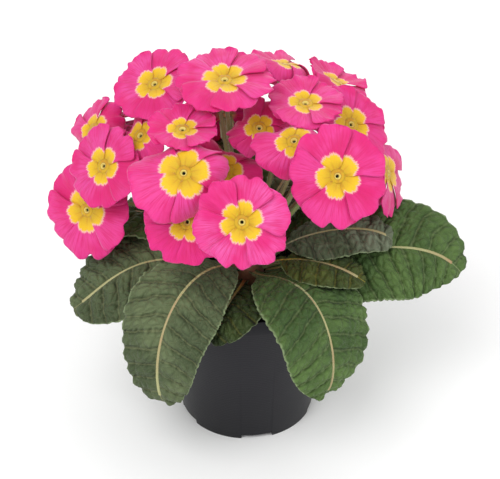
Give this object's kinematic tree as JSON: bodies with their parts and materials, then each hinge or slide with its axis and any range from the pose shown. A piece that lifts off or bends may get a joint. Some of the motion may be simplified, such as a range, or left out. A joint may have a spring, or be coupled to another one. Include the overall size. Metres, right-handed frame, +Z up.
{
  "type": "potted primrose",
  "caption": "Flowering primrose in a round tapered nursery pot: a dome of pink blooms with yellow eyes over a ruff of broad puckered leaves.",
  "frame": {"origin": "middle of the pot's base, on the surface it stands on", "axes": "+Z up, the front of the plant looks along -Y, +X is to the viewer's right"},
  "size_m": [0.1961, 0.1579, 0.1874],
  "materials": {
    "pot": "satin charcoal moulded plastic",
    "soil": "dark brown crumbly potting soil",
    "stalk": "olive green, finely hairy",
    "leaf": "matt green, net-veined with pale midribs",
    "petal": "satin pink with a yellow eye"
  },
  "bodies": {
    "root": {"pot": "pot", "soil": "soil", "crown_and_flower_stalks": "stalk", "leaf_front_left": "leaf", "leaf_front_right": "leaf", "leaf_front_low": "leaf", "leaf_left": "leaf", "leaf_right": "leaf", "leaf_right_upper": "leaf", "leaf_right_low": "leaf", "leaf_right_back": "leaf", "leaf_back_right": "leaf", "leaf_back": "leaf", "leaf_back_left": "leaf", "leaf_left_back": "leaf", "bloom_top_centre": "petal", "bloom_front_centre": "petal", "bloom_front_right": "petal", "bloom_upper_left": "petal", "bloom_side_left": "petal", "bloom_front_left": "petal", "bloom_side_left_low": "petal", "bloom_top_left": "petal", "bloom_top_right": "petal", "bloom_upper_right": "petal", "bloom_side_right": "petal", "bloom_mid_right": "petal", "bloom_far_left": "petal", "bloom_front_low": "petal", "bloom_crest_right": "petal", "bloom_crest_back": "petal", "bloom_inner_right": "petal", "bloom_inner_left": "petal", "bloom_inner_low": "petal", "bloom_back_top": "petal", "bloom_back_left": "petal", "bloom_back_right": "petal", "bloom_back_low": "petal", "bloom_back_far_left": "petal", "bloom_back_far_right": "petal"}
  },
  "joints": []
}
